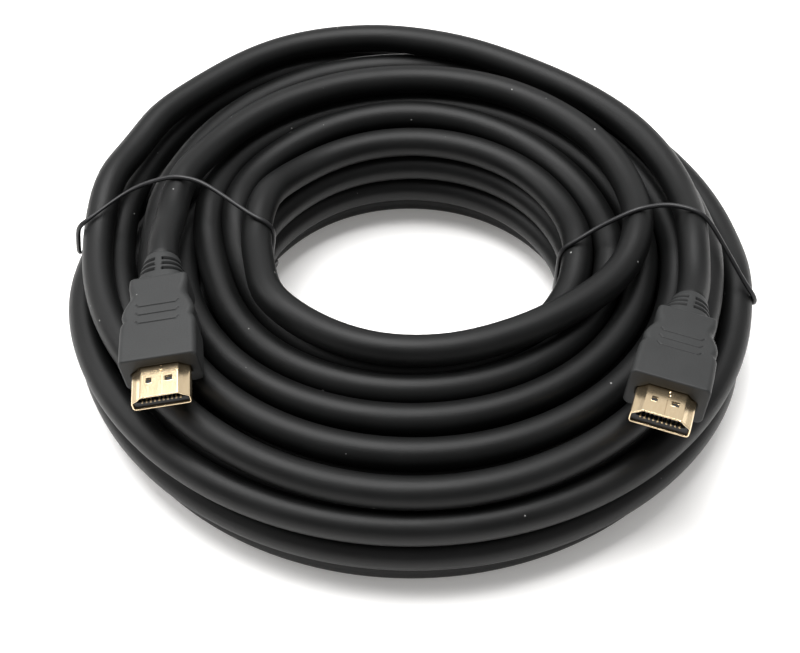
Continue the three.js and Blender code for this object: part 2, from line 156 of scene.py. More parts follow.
# Plugs: the middle of the grip's front face, then turn, tilt and roll in degrees
PLUGS = {
    "left": ((-59.0, -52.0, 38.6), 185.7, -1.5, 7.0),
    "right": ((57.2, -63.0, 42.3), 162.5, 7.5, -4.0),
}
BODY_LENGTH = 27.0
BODY_HALF_HEIGHT = 5.2
BODY_TAPER = 0.4  # how much lower the rear is than the front, above and below
BODY_CORNER = 1.45
FRONT_ROUND = 0.45
REAR_ROUND = 0.9
# Half the grip's width at distances back from its front face
BODY_HALF_WIDTHS = [
    (0.0, 9.3),
    (5.0, 9.27),
    (10.0, 9.15),
    (11.8, 9.0),
    (12.7, 8.5),
    (13.5, 8.6),
    (14.6, 8.8),
    (15.6, 8.75),
    (17.0, 8.4),
    (18.6, 7.85),
    (19.8, 7.35),
    (21.0, 7.05),
    (22.4, 7.15),
    (24.2, 7.3),
    (27.0, 7.15),
]
# The rings along the grip, as (from, to, step): closest together at the cut lines
BODY_RINGS = (
    (FRONT_ROUND + 0.3, 10.6, 0.35),
    (10.6, 18.6, 0.085),
    (18.6, BODY_LENGTH - REAR_ROUND, 0.22),
)
SECTION_COUNTS = (18, 76, 9)  # points on a side, on the top and round a corner of a ring
GROOVES = (11.4, 14.1, 16.8)  # the cut lines, back from the front face
GROOVE_REACH = 4.4  # half of a line's straight stretch
GROOVE_HOOK = 0.8  # how far its ends turn up to the rear
GROOVE_HALF = 0.24
GROOVE_DEPTH = 0.26
GROOVE_SHADE = 0.6  # how dark a cut line is painted, as painted shade, for each millimetre of its depth
RECESS_DEPTH = 3.9  # of the pocket that the shell stands in
RECESS_PLAY = 0.12
RECESS_EDGE = (0.2, 0.3)  # where its edge starts to open, and the play at the face
RELIEF_LENGTH = 8.4
RELIEF_BASE = (6.2, 4.7)  # half width and half height where it leaves the grip
RELIEF_TIP = 4.45
RELIEF_CORE = 1.9
RELIEF_WEB = 0.95  # half the web between a row's two slots
SLOT_ROWS = (2.2, 3.95, 5.7)  # back from the grip's rear
SLOT_HALF = 0.6
SLOT_EDGE = 0.03  # how far inside a slot's edge the cut has its full depth
RELIEF_ROUND = 0.45  # of the tip
RELIEF_SIDES = 132

# Shell
SHELL_HALF_WIDTH = 6.95
SHELL_TOP_HALF_WIDTH = 4.85  # of its narrow side
SHELL_HALF_HEIGHT = 2.225
SHELL_FLANK = 2.75  # height of its upright sides
SHELL_CORNER = 0.75
SHELL_OUT = 9.0
SHELL_IN = 3.7
SHELL_WALL = 0.4
SHELL_LIP = 0.14
WINDOW_XS = ((-3.14, -1.76), (1.76, 3.14))
WINDOW_YS = (3.5, 4.9)
SEAM_X = -0.4
SEAM_HALF = 0.05
SEAM_YS = (0.2, 8.4)
SEAM_DEPTH = 0.1
PINHOLES = {"left": [(-0.47, 1.5)], "right": [(-0.5, 0.75), (-0.67, 1.95)]}
PINHOLE_REACH = 0.16
PINHOLE_DEPTH = 0.2

# Contacts
CONTACT_PITCH = 1.0
CONTACT_HALF = (0.22, 0.11)  # half width and half thickness
CONTACT_REAR = 1.0
# The rows, as (count, side of the slot, front end): the narrow row is up
CONTACT_ROWS = {"narrow": (9, 1.0, 7.8), "wide": (10, -1.0, 8.38)}
SLOT_RAISE = 0.35  # the insulator's slot above the shell's middle
SLOT_TO_CONTACT = 0.825
BOW = 0.22  # how far a contact's tip bows into the slot
BOW_AT = 6.44
BOW_REACH = 0.95

# Ties
TIE_D = 1.3
TIE_LIFT = 1.5  # how far the turns rise over a tie's lower run
TIE_PLAY = 0.05
TIE_SIDES = 10
TIE_STEP = 1.2
TIE_CROSSED = 2.0  # the strands within this of a tie hold it up
TIE_LIFT_REACH = 11.0
TIE_TURNS = (12.0, 10.0)  # from this height on, over this height, a tie goes over to its upper run
# Each tie's plane: its azimuth, how far it passes aside from the coil's axis, and where the
# tie's upper run goes, as (distance out, aside).
TIES = {
    "left": (
        170.0,
        -5.0,
        [
            *[(35, 7), (38, 7.7), (41, 6.7), (47, 3.4), (54, -0.3), (58, -1.6), (62, -1.4)],
            *[(66, -1), (70, -0.3), (75, 1.6), (80, 6.6), (83, 11), (85, 13), (88, 12), (91, 9)],
        ],
    ),
    "right": (
        -4.0,
        2.0,
        [
            *[(38, -1), (41, -1.5), (48, 1.5), (56, 3.1), (63, 5.3), (67, 5.5)],
            *[(71, 4), (77, 1.9), (83, -2.8), (86, -5.7), (89, -7.1)],
        ],
    ),
}


# Meshes
def grid_faces(rows, columns, close_rows=False):
    """Quads from each ring of points to the next, and the (column, row) of each corner."""
    row = np.arange(rows if close_rows else rows - 1)[:, None]
    column = np.arange(columns)[None, :]
    here = row * columns
    there = ((row + 1) % rows) * columns
    beside = (column + 1) % columns
    quads = np.stack([here + column, here + beside, there + beside, there + column], axis=-1)
    corners = np.stack(
        np.broadcast_arrays(column, row, column + 1, row, column + 1, row + 1, column, row + 1),
        axis=-1,
    )
    return quads.reshape(-1, 4), corners.reshape(-1, 4, 2)


def skin(rings, poles=True, close_rows=False):
    """A closed surface over rings of points (rows, columns, 3), with a fan at each end.

    Returns (points, faces, corners): corners holds each face corner's (column, row)."""
    rows, columns = rings.shape[:2]
    points = rings.reshape(-1, 3)
    quads, corners = grid_faces(rows, columns, close_rows)
    faces = quads.tolist()
    places = corners.reshape(-1, 2).tolist()
    if poles:
        around = np.arange(columns)
        beside = (around + 1) % columns
        last = (rows - 1) * columns
        ends = (
            (0, beside, around, around + 1, around),
            (rows - 1, last + around, last + beside, around, around + 1),
        )
        for pole, (row, first, second, first_column, second_column) in enumerate(ends, rows * columns):
            faces += np.stack([first, second, np.full(columns, pole)], axis=-1).tolist()
            level = np.full(columns, row)
            place = [first_column, level, second_column, level, around + 0.5, level]
            places += np.stack(place, axis=-1).reshape(-1, 2).tolist()
        points = np.vstack([points, rings[0].mean(axis=0), rings[-1].mean(axis=0)])
    return points, faces, np.array(places, dtype=float)


def joined(*parts):
    """Several (points, faces, corners) as one."""
    points, faces, corners = [], [], []
    start = 0
    for part_points, part_faces, part_corners in parts:
        points.append(part_points)
        faces += [[start + i for i in face] for face in part_faces]
        corners.append(part_corners)
        start += len(part_points)
    return np.vstack(points), faces, np.vstack(corners)


def volume_of(points, faces):
    """Signed volume inside the faces, from a fan of tetrahedra over each."""
    total = 0.0
    sizes = {len(face) for face in faces}
    for size in sizes:
        block = points[np.array([face for face in faces if len(face) == size])]
        for k in range(1, size - 1):
            total += np.einsum("ij,ij->", block[:, 0], np.cross(block[:, k], block[:, k + 1]))
    return total / 6.0


def piece(name, parts, material, replaced):
    """A smooth mesh piece from (points in mm, faces, corners), facing out, on the root body."""
    points, faces, corners = parts
    if volume_of(points, faces) < 0:
        sizes = np.array([len(face) for face in faces])
        faces = [face[::-1] for face in faces]
        ends = np.cumsum(sizes)
        corners = corners[np.repeat(2 * ends - sizes - 1, sizes) - np.arange(ends[-1])]
    mesh = bpy.data.meshes.new(name)
    mesh.from_pydata((points * MM).tolist(), [], faces)
    mesh.polygons.foreach_set("use_smooth", np.ones(len(faces), dtype=bool))
    uv = mesh.uv_layers.new(name="along")
    uv.data.foreach_set("uv", corners.astype(np.float32).ravel())
    mesh.validate()
    mesh.update()
    obj = bpy.data.objects.new(name, mesh)
    bpy.context.scene.collection.objects.link(obj)
    obj.data.materials.append(material)
    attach(obj, "root")
    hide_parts(*replaced)
    return obj


def smoothstep(value):
    """0 below 0, 1 above 1, and 3t^2 - 2t^3 between."""
    t = np.clip(value, 0.0, 1.0)
    return t * t * (3.0 - 2.0 * t)


def bump(value, middle, reach):
    """A bell of height 1: exp(-((value - middle) / reach)^2)."""
    return np.exp(-(((value - middle) / reach) ** 2))


def spline(points):
    """Catmull-Rom curve through points: with points a, b, c and d, the span from b to c is

    (2b + (c - a) t + (2a - 5b + 4c - d) t^2 + (3b - a - 3c + d) t^3) / 2."""
    p = np.asarray(points, dtype=float)
    p = np.vstack([2 * p[0] - p[1], p, 2 * p[-1] - p[-2]])
    t = np.linspace(0.0, 1.0, SPAN_POINTS, endpoint=False)[None, :, None]
    a, b, c, d = (p[k : len(p) - 3 + k, None, :] for k in range(4))
    spans = 2 * b + (c - a) * t + (2 * a - 5 * b + 4 * c - d) * t**2 + (3 * b - a - 3 * c + d) * t**3
    return np.vstack([0.5 * spans.reshape(-1, 3), p[-2]])


def even(points, step):
    """The same route with its points an even step apart."""
    run = np.concatenate([[0.0], np.cumsum(np.linalg.norm(np.diff(points, axis=0), axis=1))])
    count = max(2, int(round(run[-1] / step)) + 1)
    at = np.linspace(0.0, run[-1], count)
    return np.stack([np.interp(at, run, points[:, k]) for k in range(3)], axis=1)


def eased(points, passes):
    """The route with each inner point moved to a quarter, a half and a quarter of its neighbours."""
    for _ in range(passes):
        points[1:-1] = 0.25 * points[:-2] + 0.5 * points[1:-1] + 0.25 * points[2:]
    return points


def ring_points(route, radius, sides, side, up):
    """Rings of a round tube along a route: middle + radius (side cos a + up sin a)."""
    angle = np.linspace(0.0, 2 * np.pi, sides, endpoint=False)[None, :, None]
    return route[:, None, :] + radius * (side[:, None, :] * np.cos(angle) + up[:, None, :] * np.sin(angle))


def tube_rings(route, radius, sides):
    """A tube's rings: the side is along x vertical, and up is side x along."""
    along = np.gradient(route, axis=0)
    along /= np.linalg.norm(along, axis=1, keepdims=True)
    side = np.cross(along, (0.0, 0.0, 1.0))
    side /= np.linalg.norm(side, axis=1, keepdims=True)
    return ring_points(route, radius, sides, side, np.cross(side, along))


def closed_tube_rings(way, radius, sides):
    """Rings of a tube along a closed route that lies near the XZ plane."""
    along = np.roll(way, -1, axis=0) - np.roll(way, 1, axis=0)
    along /= np.linalg.norm(along, axis=1, keepdims=True)
    side = np.broadcast_to((0.0, 1.0, 0.0), way.shape)
    return ring_points(way, radius, sides, side, np.cross(side, along))


# Plug frames
def turned(axis, degrees):
    """Rotation matrix about one of the three axes."""
    c, s = math.cos(math.radians(degrees)), math.sin(math.radians(degrees))
    i, j = [(1, 2), (2, 0), (0, 1)][axis]
    matrix = np.eye(3)
    matrix[i, i] = matrix[j, j] = c
    matrix[i, j], matrix[j, i] = -s, s
    return matrix


def placed(side, points):
    """Points from a plug's own frame, +Y out of its mouth and the narrow side up, in the coil's."""
    at, turn, tilt, roll = PLUGS[side]
    matrix = turned(2, turn) @ turned(0, tilt) @ turned(1, roll)
    return np.asarray(points, dtype=float) @ matrix.T + np.array(at)


# Materials
class Signal:
    """A number that varies over a surface. Arithmetic on it adds Math nodes."""

    def __init__(self, nodes, socket):
        self.nodes = nodes
        self.socket = socket

    def math(self, operation, *values):
        return self.nodes.add("ShaderNodeMath", {"operation": operation}, dict(enumerate(values)))

    def __add__(self, other):
        return self.math("ADD", self, other)

    def __mul__(self, other):
        return self.math("MULTIPLY", self, other)

    def __lt__(self, other):
        return self.math("LESS_THAN", self, other)

    __radd__ = __add__
    __rmul__ = __mul__

    def clamped(self, low, high):
        """From 0 to 1 as the signal goes from low to high."""
        values = {"Value": self, "From Min": low, "From Max": high}
        return self.nodes.add("ShaderNodeMapRange", {"clamp": True}, values)


class Nodes:
    """The nodes of a material or of the surroundings."""

    def __init__(self, tree):
        self.tree = tree

    def add(self, kind, settings=None, values=None, output=0):
        """One node: its settings first, then the values or links of its sockets."""
        node = self.tree.nodes.new(kind)
        for label, value in (settings or {}).items():
            setattr(node, label, value)
        for label, value in (values or {}).items():
            if isinstance(value, Signal):
                self.tree.links.new(value.socket, node.inputs[label])
            else:
                node.inputs[label].default_value = value
        return Signal(self, node.outputs[output])


SHADER_SOCKETS = {
    "metallic": "Metallic",
    "roughness": "Roughness",
    "specular": "Specular IOR Level",
    "glow": "Emission Strength",
    "glow_color": "Emission Color",
}
OBJECT_COORDINATES = 3  # among the outputs of Texture Coordinate
MIX_COLORS = (6, 7)  # among the inputs of Mix
MIXED_COLOR = 2  # among its outputs


class Finish(Nodes):
    """A procedural material round one Principled shader."""

    def __init__(self, name, **constants):
        self.material = bpy.data.materials.new(name)
        self.material.use_nodes = True
        super().__init__(self.material.node_tree)
        self.shader = self.tree.nodes["Principled BSDF"]
        for label, value in constants.items():
            self.shader.inputs[SHADER_SOCKETS[label]].default_value = value

    def feed(self, label, signal):
        self.tree.links.new(signal.socket, self.shader.inputs[label])

    def coordinates(self):
        return self.add("ShaderNodeTexCoord", output=OBJECT_COORDINATES)

    def along(self):
        return self.add("ShaderNodeUVMap", {"uv_map": "along"})

    def stretched(self, vector, scale):
        """The same coordinates, each axis by its own scale."""
        return self.add("ShaderNodeMapping", None, {"Vector": vector, "Scale": scale})

    def noise(self, vector, scale, detail=3.0, roughness=0.55):
        values = {"Vector": vector, "Scale": scale, "Detail": detail, "Roughness": roughness}
        return self.add("ShaderNodeTexNoise", None, values)

    def specks(self, vector, scale, size, share):
        """1 on small round specks in a share of the cells of a grid of that scale, 0 elsewhere."""
        values = {"Vector": vector, "Scale": scale}
        near = self.add("ShaderNodeTexVoronoi", {"feature": "F1"}, values)
        chance = self.add("ShaderNodeTexVoronoi", {"feature": "F1"}, values, output=1)
        draw = self.add("ShaderNodeSeparateColor", None, {"Color": chance})
        width = self.add("ShaderNodeSeparateColor", None, {"Color": chance}, output=1)
        inside = near < (width * 0.7 + 0.3) * size
        return inside * (draw < share)

    def mixed(self, factor, first, second):
        """A colour between two colours, given as red, green and blue or as a signal."""
        values = {"Factor": factor}
        for socket, color in zip(MIX_COLORS, (first, second)):
            values[socket] = color if isinstance(color, Signal) else (*color, 1.0)
        return self.add("ShaderNodeMix", {"data_type": "RGBA"}, values, output=MIXED_COLOR)

    def grain(self, height, distance, strength=1.0):
        """Bump from a height, into the shader's normal."""
        values = {"Height": height, "Distance": distance, "Strength": strength}
        self.feed("Normal", self.add("ShaderNodeBump", None, values))


def jacket_finish():
    """Satin black jacket: faint lines along the cable, a soft bloom and a few specks of dust."""
    finish = Finish("satin_black_jacket", specular=0.21)
    place = finish.coordinates()
    bloom = finish.noise(place, 55.0, 3.0)
    fine = finish.noise(place, 1400.0, 2.0)
    lines = finish.noise(finish.stretched(finish.along(), (3.0, 0.05, 1.0)), 6.0, 3.0)
    dust = finish.specks(place, 320.0, 0.085, 0.13)
    black = finish.mixed(bloom.clamped(0.3, 0.75), (0.0018, 0.0019, 0.0019), (0.0042, 0.0044, 0.0044))
    finish.feed("Base Color", finish.mixed(dust * 0.6, black, (0.35, 0.35, 0.34)))
    finish.feed("Roughness", 0.36 + 0.14 * bloom + 0.06 * lines + 0.25 * dust)
    finish.grain(fine * 0.5 + lines * 0.8 + dust * 1.5, 0.00006, 0.5)
    return finish.material


def moulding_finish():
    """Matte near-black moulding with a fine even grain. Its cut lines and slots are painted black, as
    painted shade, by the flags on the along map.
    """
    finish = Finish("matte_moulding", specular=0.4)
    place = finish.coordinates()
    grain = finish.noise(place, 2600.0, 2.0, 0.6)
    cloud = finish.noise(place, 120.0, 3.0)
    dust = finish.specks(place, 420.0, 0.07, 0.05)
    deep = finish.add("ShaderNodeSeparateXYZ", None, {"Vector": finish.along()})
    black = finish.mixed(cloud.clamped(0.3, 0.7), (0.0085, 0.009, 0.009), (0.0135, 0.0142, 0.0142))
    dusty = finish.mixed(dust * 0.6, black, (0.4, 0.4, 0.39))
    # Painted shade: the cut lines and the slots go to black by their flags.
    finish.feed("Base Color", finish.mixed(deep.clamped(0.0, 0.2), dusty, (0.0, 0.0, 0.0)))
    finish.feed("Roughness", 0.5 + 0.1 * cloud + 0.12 * grain + 0.5 * deep)
    finish.grain(grain, 0.00007, 0.6)
    return finish.material


def gilt_finish():
    """Gilt sheet, lightly brushed along the plug."""
    finish = Finish("brushed_gilt", metallic=1.0)
    brushed = finish.noise(finish.stretched(finish.along(), (0.9, 0.02, 1.0)), 3.0, 4.0)
    cloud = finish.noise(finish.coordinates(), 260.0, 2.0)
    gold = finish.mixed(brushed.clamped(0.25, 0.75), (0.69, 0.53, 0.33), (0.79, 0.64, 0.43))
    finish.feed("Base Color", gold)
    finish.feed("Roughness", 0.15 + 0.12 * brushed + 0.06 * cloud)
    finish.grain(brushed, 0.00003, 0.4)
    return finish.material


def contact_finish():
    """Plated contacts, duller than the shell."""
    finish = Finish("plated_contact", metallic=1.0)
    cloud = finish.noise(finish.coordinates(), 900.0, 2.0)
    finish.feed("Base Color", finish.mixed(cloud, (0.5, 0.39, 0.24), (0.66, 0.54, 0.36)))
    finish.feed("Roughness", 0.22 + 0.12 * cloud)
    return finish.material


def insulator_finish():
    """Plain dark moulding of the insulator."""
    finish = Finish("dark_insulator", specular=0.3)
    grain = finish.noise(finish.coordinates(), 1800.0, 2.0)
    finish.feed("Base Color", finish.mixed(grain, (0.012, 0.012, 0.013), (0.024, 0.024, 0.025)))
    finish.feed("Roughness", 0.42 + 0.15 * grain)
    finish.grain(grain, 0.00004, 0.4)
    return finish.material


def tie_finish():
    """Semi-gloss coating of the ties."""
    finish = Finish("coated_tie", specular=0.35)
    cloud = finish.noise(finish.coordinates(), 500.0, 3.0)
    finish.feed("Base Color", finish.mixed(cloud, (0.006, 0.006, 0.0065), (0.013, 0.013, 0.014)))
    finish.feed("Roughness", 0.3 + 0.2 * cloud)
    finish.grain(cloud, 0.0001, 0.4)
    return finish.material


def floor_finish():
    """Pale floor with a faint glow of its own."""
    glow = {"glow": FLOOR_GLOW, "glow_color": (1.0, 0.98, 0.95, 1.0)}
    finish = Finish("pale_floor", roughness=0.85, **glow)
    tone = finish.noise(finish.coordinates(), 3.0, 2.0)
    finish.feed("Base Color", finish.mixed(tone, (0.93, 0.92, 0.91), (0.95, 0.94, 0.93)))
    return finish.material


jacket = jacket_finish()
moulding = moulding_finish()
gilt = gilt_finish()
plated = contact_finish()
insulating = insulator_finish()
coated = tie_finish()


# Camera, floor and light
def set_camera():
    data = bpy.data.cameras.new("camera")
    data.lens = CAMERA_LENS
    data.sensor_width = CAMERA_SENSOR
    data.sensor_fit = "HORIZONTAL"
    data.clip_start = 0.01
    camera = bpy.data.objects.new("camera", data)
    camera.location = CAMERA_PLACE
    camera.rotation_euler = (math.radians(CAMERA_TILT), 0.0, 0.0)
    bpy.context.scene.collection.objects.link(camera)
    bpy.context.scene.camera = camera


def set_floor():
    mesh = bpy.data.meshes.new("floor")
    corners = [(x * FLOOR_REACH, y * FLOOR_REACH, 0) for x, y in ((-1, -1), (1, -1), (1, 1), (-1, 1))]
    mesh.from_pydata(corners, [], [(0, 1, 2, 3)])
    floor = bpy.data.objects.new("floor", mesh)
    floor.location.z = -FLOOR_DROP
    mesh.materials.append(floor_finish())
    bpy.context.scene.collection.objects.link(floor)


def area_light(name, place, size, power):
    """A square soft light at a place, turned to the middle of the floor under the coil."""
    data = bpy.data.lights.new(name, "AREA")
    data.size = size
    data.energy = power
    light = bpy.data.objects.new(name, data)
    light.location = place
    x, y, z = place
    light.rotation_euler = (math.atan2(math.hypot(x, y), z), 0.0, math.atan2(x, -y))
    bpy.context.scene.collection.objects.link(light)


def set_light():
    """Soft light from all round, brighter from the back, and two square lights."""
    world = bpy.data.worlds.new("studio")
    world.use_nodes = True
    sky = Nodes(world.node_tree)
    towards = sky.add("ShaderNodeTexCoord")  # its first output, the direction looked in
    back = sky.add("ShaderNodeSeparateXYZ", None, {"Vector": towards}, output=1)
    spread = {"From Min": -SKY_SPREAD, "From Max": SKY_SPREAD, "To Min": SKY[0], "To Max": SKY[1]}
    level = sky.add("ShaderNodeMapRange", {"clamp": True}, {"Value": back, **spread})
    background = sky.tree.nodes["Background"]
    background.inputs["Strength"].default_value = 1.0
    sky.tree.links.new(level.socket, background.inputs["Color"])
    bpy.context.scene.world = world
    area_light("overhead", **OVERHEAD)
    area_light("left_side", **LEFT_SIDE)
    bpy.context.scene.view_settings.view_transform = "Standard"


set_camera()
set_floor()
set_light()


# Cable
def winding():
    """The coil: radius and height go from rest to rest in smooth steps as the azimuth falls.

    Each of the two is its first value plus, for every step, the difference between the two
    rests times a smoothstep of the travel about that step's middle. The radius also sways by
    0.2 sin(2 azimuth + 2.4 turns) + 0.12 sin(3 azimuth + 1.1 turns)."""
    last = STEPS[-1][0]
    whole = COIL_START + 360.0 * (last - 1) - COIL_END
    travel = np.linspace(0.0, whole, int(whole / TRAVEL_STEP) + 1)
    azimuth = np.radians(COIL_START - travel)

    def rest(place):
        if place not in WINDING:
            return [np.full_like(travel, value) for value in place]
        lane, layer = place
        radius = np.full_like(travel, LAYER_RADII[layer] + lane * LANE_STEP)
        height = np.full_like(travel, CABLE_D / 2 + layer * LAYER_RISE)
        for middle, reach, out, up in DEPARTURES.get(place, ()):
            apart = (np.degrees(azimuth) - middle + 180.0) % 360.0 - 180.0
            radius += out * bump(apart, 0.0, reach)
            height += up * bump(apart, 0.0, reach)
        return [radius, height]

    before = rest(INNER_REST)
    radius, height = (value.copy() for value in before)
    for turn, middle, reach, place in STEPS:
        after = rest(place)
        gone = smoothstep((travel - (COIL_START + 360.0 * turn - middle)) / (2 * reach) + 0.5)
        radius += (after[0] - before[0]) * gone
        height += (after[1] - before[1]) * gone
        before = after
    turns = travel / 360.0
    radius += 0.2 * np.sin(2 * azimuth + 2.4 * turns) + 0.12 * np.sin(3 * azimuth + 1.1 * turns)
    return np.stack([radius * np.cos(azimuth), radius * np.sin(azimuth), height], axis=1)


def relief_exit(side, forward):
    """A point on a plug's axis, at a distance forward of its strain relief's tip."""
    return placed(side, [(0.0, -BODY_LENGTH - RELIEF_LENGTH + forward, 0.0)])[0]


def cable_route():
    """From the left strain relief over the coil, through the winding and out to the right one.

    It rises over each tie's lower run by TIE_LIFT exp(-(distance aside / TIE_LIFT_REACH)^2)."""
    leads = {"left": LEFT_LEAD, "right": RIGHT_LEAD}
    left, right = ([*(relief_exit(side, at) for at in LEAD_EXITS), *leads[side]] for side in PLUGS)
    coil = winding()
    overlap = 2 * SPAN_POINTS + 1  # the two spans that only give a lead its direction
    start = spline([*left, coil[3], coil[5]])[:-overlap]
    end = spline([*right, coil[-4], coil[-6]])[:-overlap][::-1]
    route = np.vstack([start, coil[3:-3], end])
    route = eased(even(route, RING_STEP), 3)
    for azimuth, aside, _ in TIES.values():
        local = route @ turned(2, -azimuth).T
        lifted = TIE_LIFT * bump(local[:, 1], aside, TIE_LIFT_REACH)
        route[:, 2] += np.where(local[:, 0] > 0, lifted, 0.0)
    return route


route = cable_route()
cable = piece(
    "cable",
    skin(tube_rings(route, CABLE_D / 2, TUBE_SIDES)),
    jacket,
    ["coil", "lead_left", "lead_right"],
)


# Grip and strain relief
def section_table(sides, tops, corners):
    """Numbers (X, Z, U, V) for each point round a rounded rectangle, from the right side's foot.

    A point is (X (w - c) + c U, Z (h - c) + c V) for half width w, half height h, corner c."""
    flat_side = np.linspace(-1.0, 1.0, sides, endpoint=False)
    flat_top = np.linspace(1.0, -1.0, tops, endpoint=False)
    angle = np.linspace(0.0, np.pi / 2, corners, endpoint=False)
    rows = []
    for quarter, flat in enumerate((flat_side, flat_top, -flat_side, -flat_top)):
        c, s = math.cos(quarter * math.pi / 2), math.sin(quarter * math.pi / 2)
        if quarter % 2 == 0:
            rows.append(np.stack([c + 0 * flat, flat, c + 0 * flat, 0 * flat], axis=1))
        else:
            rows.append(np.stack([flat, s + 0 * flat, 0 * flat, s + 0 * flat], axis=1))
        turn = angle + quarter * math.pi / 2
        x_side = 1.0 if quarter in (0, 3) else -1.0
        z_side = 1.0 if quarter < 2 else -1.0
        rows.append(np.stack([x_side + 0 * turn, z_side + 0 * turn, np.cos(turn), np.sin(turn)], axis=1))
    return np.vstack(rows)


SECTION = section_table(*SECTION_COUNTS)


def section_ring(half_width, half_height, corner):
    """x and z round the section, for arrays of rings."""
    w, h, c = (np.asarray(value, dtype=float)[:, None] for value in (half_width, half_height, corner))
    x = SECTION[:, 0] * (w - c) + c * SECTION[:, 2]
    z = SECTION[:, 1] * (h - c) + c * SECTION[:, 3]
    return x, z


def smooth_profile(pairs, at, reach):
    """Values between given pairs, averaged over a bell of that reach."""
    places, values = np.array(pairs).T
    offsets = np.linspace(-2.0, 2.0, 17) * reach
    weights = bump(offsets, 0.0, reach)
    samples = np.interp(np.asarray(at)[:, None] + offsets, places, values)
    return samples @ weights / weights.sum()


def shell_outline(margin):
    """Points round the shell's section, grown by a margin, from its lower right corner."""
    wide = SHELL_HALF_WIDTH + margin
    narrow = SHELL_TOP_HALF_WIDTH + margin * 0.6
    top = SHELL_HALF_HEIGHT + margin
    flank = -SHELL_HALF_HEIGHT + SHELL_FLANK + margin * 0.3
    corner = max(0.25, SHELL_CORNER + margin)
    half = [
        (wide - corner, -top),
        (wide - corner * 0.3, -top + corner * 0.3),
        (wide, -top + corner),
        (wide, flank - 0.3),
        (wide - 0.15, flank),
        (wide - (wide - narrow) * 0.72, flank + (top - flank) * 0.5),
        (narrow, top - corner * 0.45),
        (narrow - corner * 0.5, top),
    ]
    return np.array(half + [(-x, z) for x, z in half[::-1]])


def outline_at(outline, angles):
    """Points where rays from the middle, at the given angles, cross a closed outline."""
    dense = np.vstack([outline, outline[:1]])
    run = np.concatenate([[0.0], np.cumsum(np.linalg.norm(np.diff(dense, axis=0), axis=1))])
    at = np.linspace(0.0, run[-1], 4000, endpoint=False)
    x, z = (np.interp(at, run, dense[:, k]) for k in range(2))
    polar = np.arctan2(z, x)
    order = np.argsort(polar)
    return (
        np.interp(angles, polar[order], x[order], period=2 * np.pi),
        np.interp(angles, polar[order], z[order], period=2 * np.pi),
    )


def groove_depth(x, back):
    """Three fine cut lines across the top, each with its two ends turned up to the rear.

    A cut is GROOVE_DEPTH (1 - distance from its middle / GROOVE_HALF) deep."""
    depth = np.zeros_like(x)
    past = np.abs(x) - GROOVE_REACH
    hook = GROOVE_HOOK * smoothstep(past / 0.8)
    slope = GROOVE_HOOK * 1.2 * (np.abs(past - 0.4) < 0.5)
    fade = 1.0 - smoothstep((past - 0.75) / 0.2)
    for middle in GROOVES:
        off = np.abs(back - middle - hook) / np.sqrt(1.0 + slope**2)
        depth = np.maximum(depth, GROOVE_DEPTH * np.clip(1.0 - off / GROOVE_HALF, 0.0, 1.0) * fade)
    return depth


def shade_flagged(corners, shade_flags):
    """Corners whose first number is their point's flag, for the shade painted into the moulding's cuts."""
    column, row = np.round(corners).astype(int).T
    inside = shade_flags[np.minimum(row, len(shade_flags) - 1), column % shade_flags.shape[1]]
    return np.stack([inside, 0 * inside], axis=1)


def grip_body(side):
    """The grip: rounded rectangles along its length, a recess for the shell in the front face.

    At the front and the rear the rings draw in by a quarter circle, r (1 - cos a)."""
    turn = np.linspace(0.0, np.pi / 2, 6)
    drawn_in = 1.0 - np.cos(turn)
    between = np.concatenate([np.arange(*span) for span in BODY_RINGS])
    front_backs = FRONT_ROUND * (1.0 - np.sin(turn))[::-1]
    rear_backs = BODY_LENGTH - REAR_ROUND + REAR_ROUND * np.sin(turn)
    backs = np.concatenate([front_backs, between, rear_backs])
    inset = np.concatenate([FRONT_ROUND * drawn_in[::-1], np.zeros(len(between)), REAR_ROUND * drawn_in])
    width = smooth_profile(BODY_HALF_WIDTHS, backs, 0.35) - inset
    height = BODY_HALF_HEIGHT - BODY_TAPER * (backs / BODY_LENGTH) ** 2 - inset
    corner = BODY_CORNER + 0.75 * bump(backs, 20.6, 2.6) + 0.25 * bump(backs, 12.8, 1.0)
    corner -= 0.25 * smoothstep((backs - 23) / 3)
    x, z = section_ring(width, height, corner)
    back = np.broadcast_to(backs[:, None], x.shape)
    on_top = (SECTION[:, 1] >= 1.0) & (SECTION[:, 3] > 0.95)
    groove = np.where(on_top[None, :], groove_depth(x, back), 0.0)
    body = np.stack([x, -back, z - groove], axis=-1)

    first_x, _, first_z = body[0].T
    angles = np.arctan2(first_z, first_x)
    shell_x, shell_z = outline_at(shell_outline(RECESS_PLAY), angles)
    edge_back, edge_play = RECESS_EDGE
    edge_x, edge_z = outline_at(shell_outline(edge_play), angles)
    level = np.zeros_like(first_x)
    front = [
        *[np.stack([shell_x, level - deep, shell_z], axis=-1) for deep in (RECESS_DEPTH, edge_back)],
        *[
            np.stack([edge_x + (first_x - edge_x) * s, level, edge_z + (first_z - edge_z) * s], axis=-1)
            for s in (0.0, 0.25, 0.5, 0.75, 0.93)
        ],
    ]
    last_x, _, last_z = body[-1].T
    behind = [np.stack([last_x * s, level - BODY_LENGTH, last_z * s], axis=-1) for s in (0.85, 0.4)]
    rings = np.concatenate([np.array(front), body, np.array(behind)])
    shade_flags = np.zeros(rings.shape[:2])
    # Painted shade: the cut lines are flagged to go dark in the moulding's colour.
    shade_flags[len(front) : -len(behind)] = GROOVE_SHADE * groove
    points, faces, corners = skin(rings)
    return placed(side, points), faces, shade_flagged(corners, shade_flags)


